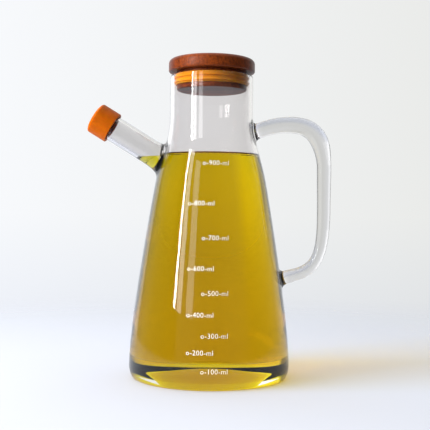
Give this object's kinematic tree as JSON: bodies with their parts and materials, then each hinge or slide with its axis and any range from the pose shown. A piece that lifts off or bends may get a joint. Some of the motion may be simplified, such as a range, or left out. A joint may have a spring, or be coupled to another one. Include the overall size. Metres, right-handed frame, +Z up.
{
  "type": "oil cruet",
  "caption": "Clear glass oil cruet with a bell body, slanted capped spout, fused rod handle and wooden plug lid, filled with golden oil.",
  "frame": {"origin": "centre of the flat underside of the bottle", "axes": "+Z up along the bottle's axis, spout towards -X, handle towards +X, Y across"},
  "size_m": [0.1637, 0.107, 0.2121],
  "materials": {
    "glass": "clear blown borosilicate, fire-polished",
    "oil": "clear golden vegetable oil",
    "wood": "carbonised bamboo, lacquered satin",
    "seal": "translucent silicone, smooth",
    "cap": "orange silicone, smooth matt"
  },
  "bodies": {
    "root": {"glass_bottle": "glass", "oil": "oil", "wooden_lid": "wood", "seal_ring": "seal", "spout_cap": "cap"}
  },
  "joints": []
}
